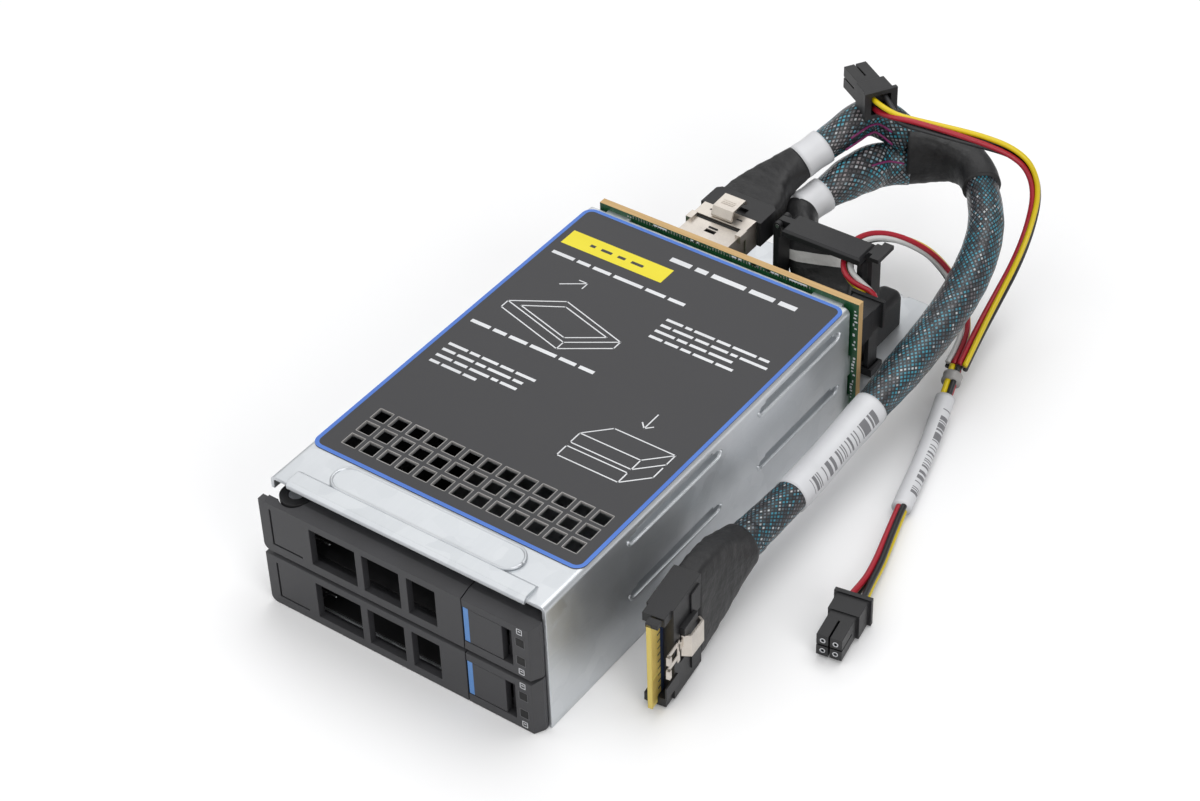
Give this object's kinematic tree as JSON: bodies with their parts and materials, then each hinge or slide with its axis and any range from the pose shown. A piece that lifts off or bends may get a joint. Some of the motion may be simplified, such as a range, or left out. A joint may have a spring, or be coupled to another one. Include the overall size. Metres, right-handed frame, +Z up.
{
  "type": "hot swap drive cage",
  "caption": "Folded steel cage with stacked pull-out trays for 2.5 inch drives, a backplane, a cable clamp, a braided data cable and a power cable.",
  "frame": {"origin": "underside of the base plate, at the centre of the cage's footprint", "axes": "+Y from the tray fronts to the backplane, +X to the right seen from the tray fronts, +Z up"},
  "size_m": [0.1285, 0.2146, 0.0612],
  "materials": {
    "galvanised_steel": "galvanised sheet, satin",
    "front_plastic": "moulded, fine texture",
    "frame_plastic": "moulded, fine texture",
    "blue_plastic": "moulded, smooth",
    "clear_plastic": "clear, polished",
    "spring_steel": "drawn wire",
    "pin_steel": "turned, bright",
    "connector_shell": "tinned sheet",
    "connector_black": "moulded nylon",
    "board_laminate": "solder mask over glass laminate",
    "card_laminate": "gold contacts on a dark board",
    "label_film": "printed film",
    "white_film": "printed film",
    "braid": "open braid over wires",
    "wire_insulation": "extruded, smooth"
  },
  "bodies": {
    "cage": {"backplane_board": "board_laminate", "base_plate": "galvanised_steel", "board_plug": "connector_black", "board_screws": "pin_steel", "board_wires": "wire_insulation", "branch_tape_left": "white_film", "branch_tape_right": "white_film", "cage_shell": "galvanised_steel", "clamp_base": "connector_black", "clamp_pin": "pin_steel", "data_boot_left": "connector_black", "data_boot_right": "connector_black", "data_branch_left": "braid", "data_branch_right": "braid", "data_cover_left": "connector_shell", "data_cover_right": "connector_shell", "data_plug_left": "connector_black", "data_plug_right": "connector_black", "data_socket_left": "connector_shell", "data_socket_right": "connector_shell", "data_trunk": "braid", "drive_socket_lower": "connector_black", "drive_socket_upper": "connector_black", "host_boot": "connector_black", "host_card": "card_laminate", "host_plug": "connector_shell", "label_film": "label_film", "lead_plug": "connector_black", "lead_wires": "wire_insulation", "power_socket": "connector_black", "spare_plug": "connector_black", "spare_wires": "wire_insulation", "split_boot": "connector_black", "trunk_label": "white_film", "wire_label": "white_film"},
    "tray_lower": {"tray_frame_lower": "frame_plastic", "bezel_block_lower": "front_plastic", "lever_pin_lower": "pin_steel", "lever_spring_lower": "spring_steel", "button_spring_lower": "spring_steel", "light_pipes_lower": "clear_plastic"},
    "lever_lower": {"eject_lever_lower": "front_plastic"},
    "button_lower": {"release_button_lower": "front_plastic", "button_stripe_lower": "blue_plastic"},
    "tray_upper": {"tray_frame_upper": "frame_plastic", "bezel_block_upper": "front_plastic", "lever_pin_upper": "pin_steel", "lever_spring_upper": "spring_steel", "button_spring_upper": "spring_steel", "light_pipes_upper": "clear_plastic"},
    "lever_upper": {"eject_lever_upper": "front_plastic"},
    "button_upper": {"release_button_upper": "front_plastic", "button_stripe_upper": "blue_plastic"},
    "strap": {"clamp_strap": "connector_black"},
    "clamp_latch": {"clamp_latch": "connector_black"},
    "latch_left": {"data_latch_left": "connector_shell"},
    "latch_right": {"data_latch_right": "connector_shell"},
    "host_latch": {"host_latch": "connector_shell"}
  },
  "joints": [
    {"name": "tray_slide_lower", "type": "slide", "parent": "cage", "child": "tray_lower", "axis": [0, -1, 0], "range_m": [0, 0.14]},
    {"name": "lever_pivot_lower", "type": "hinge", "parent": "tray_lower", "child": "lever_lower", "pos_m": [-0.0346, -0.0638, 0.0096], "axis": [0, 0, -1], "range_deg": [0, 60]},
    {"name": "button_slide_lower", "type": "slide", "parent": "tray_lower", "child": "button_lower", "axis": [1, 0, 0], "range_m": [0, 0.0025], "stiffness_N_per_m": 300, "springref_m": -0.002, "deforming": ["button_spring_lower"]},
    {"name": "tray_slide_upper", "type": "slide", "parent": "cage", "child": "tray_upper", "axis": [0, -1, 0], "range_m": [0, 0.14]},
    {"name": "lever_pivot_upper", "type": "hinge", "parent": "tray_upper", "child": "lever_upper", "pos_m": [-0.0346, -0.0638, 0.0272], "axis": [0, 0, -1], "range_deg": [0, 60]},
    {"name": "button_slide_upper", "type": "slide", "parent": "tray_upper", "child": "button_upper", "axis": [1, 0, 0], "range_m": [0, 0.0025], "stiffness_N_per_m": 300, "springref_m": -0.002, "deforming": ["button_spring_upper"]},
    {"name": "strap_hinge", "type": "hinge", "parent": "cage", "child": "strap", "pos_m": [0.0063, 0.0878, 0.0392], "axis": [0, -1, 0], "range_deg": [0, 95]},
    {"name": "clamp_latch_flex", "type": "hinge", "parent": "cage", "child": "clamp_latch", "pos_m": [0.0348, 0.0878, 0.0022], "axis": [0, 1, 0], "range_deg": [0, 5], "stiffness_Nm_per_rad": 0.05},
    {"name": "data_latch_flex_left", "type": "hinge", "parent": "cage", "child": "latch_left", "pos_m": [-0.0065, 0.0775, 0.04125], "axis": [-1, 0, 0], "range_deg": [0, 7], "stiffness_Nm_per_rad": 0.05},
    {"name": "data_latch_flex_right", "type": "hinge", "parent": "cage", "child": "latch_right", "pos_m": [0.0168, 0.0775, 0.02215], "axis": [-1, 0, 0], "range_deg": [0, 7], "stiffness_Nm_per_rad": 0.05},
    {"name": "host_latch_flex", "type": "hinge", "parent": "cage", "child": "host_latch", "pos_m": [0.05927, -0.03856, 0.0152], "axis": [0, 0, 1], "range_deg": [0, 6], "stiffness_Nm_per_rad": 0.05}
  ]
}
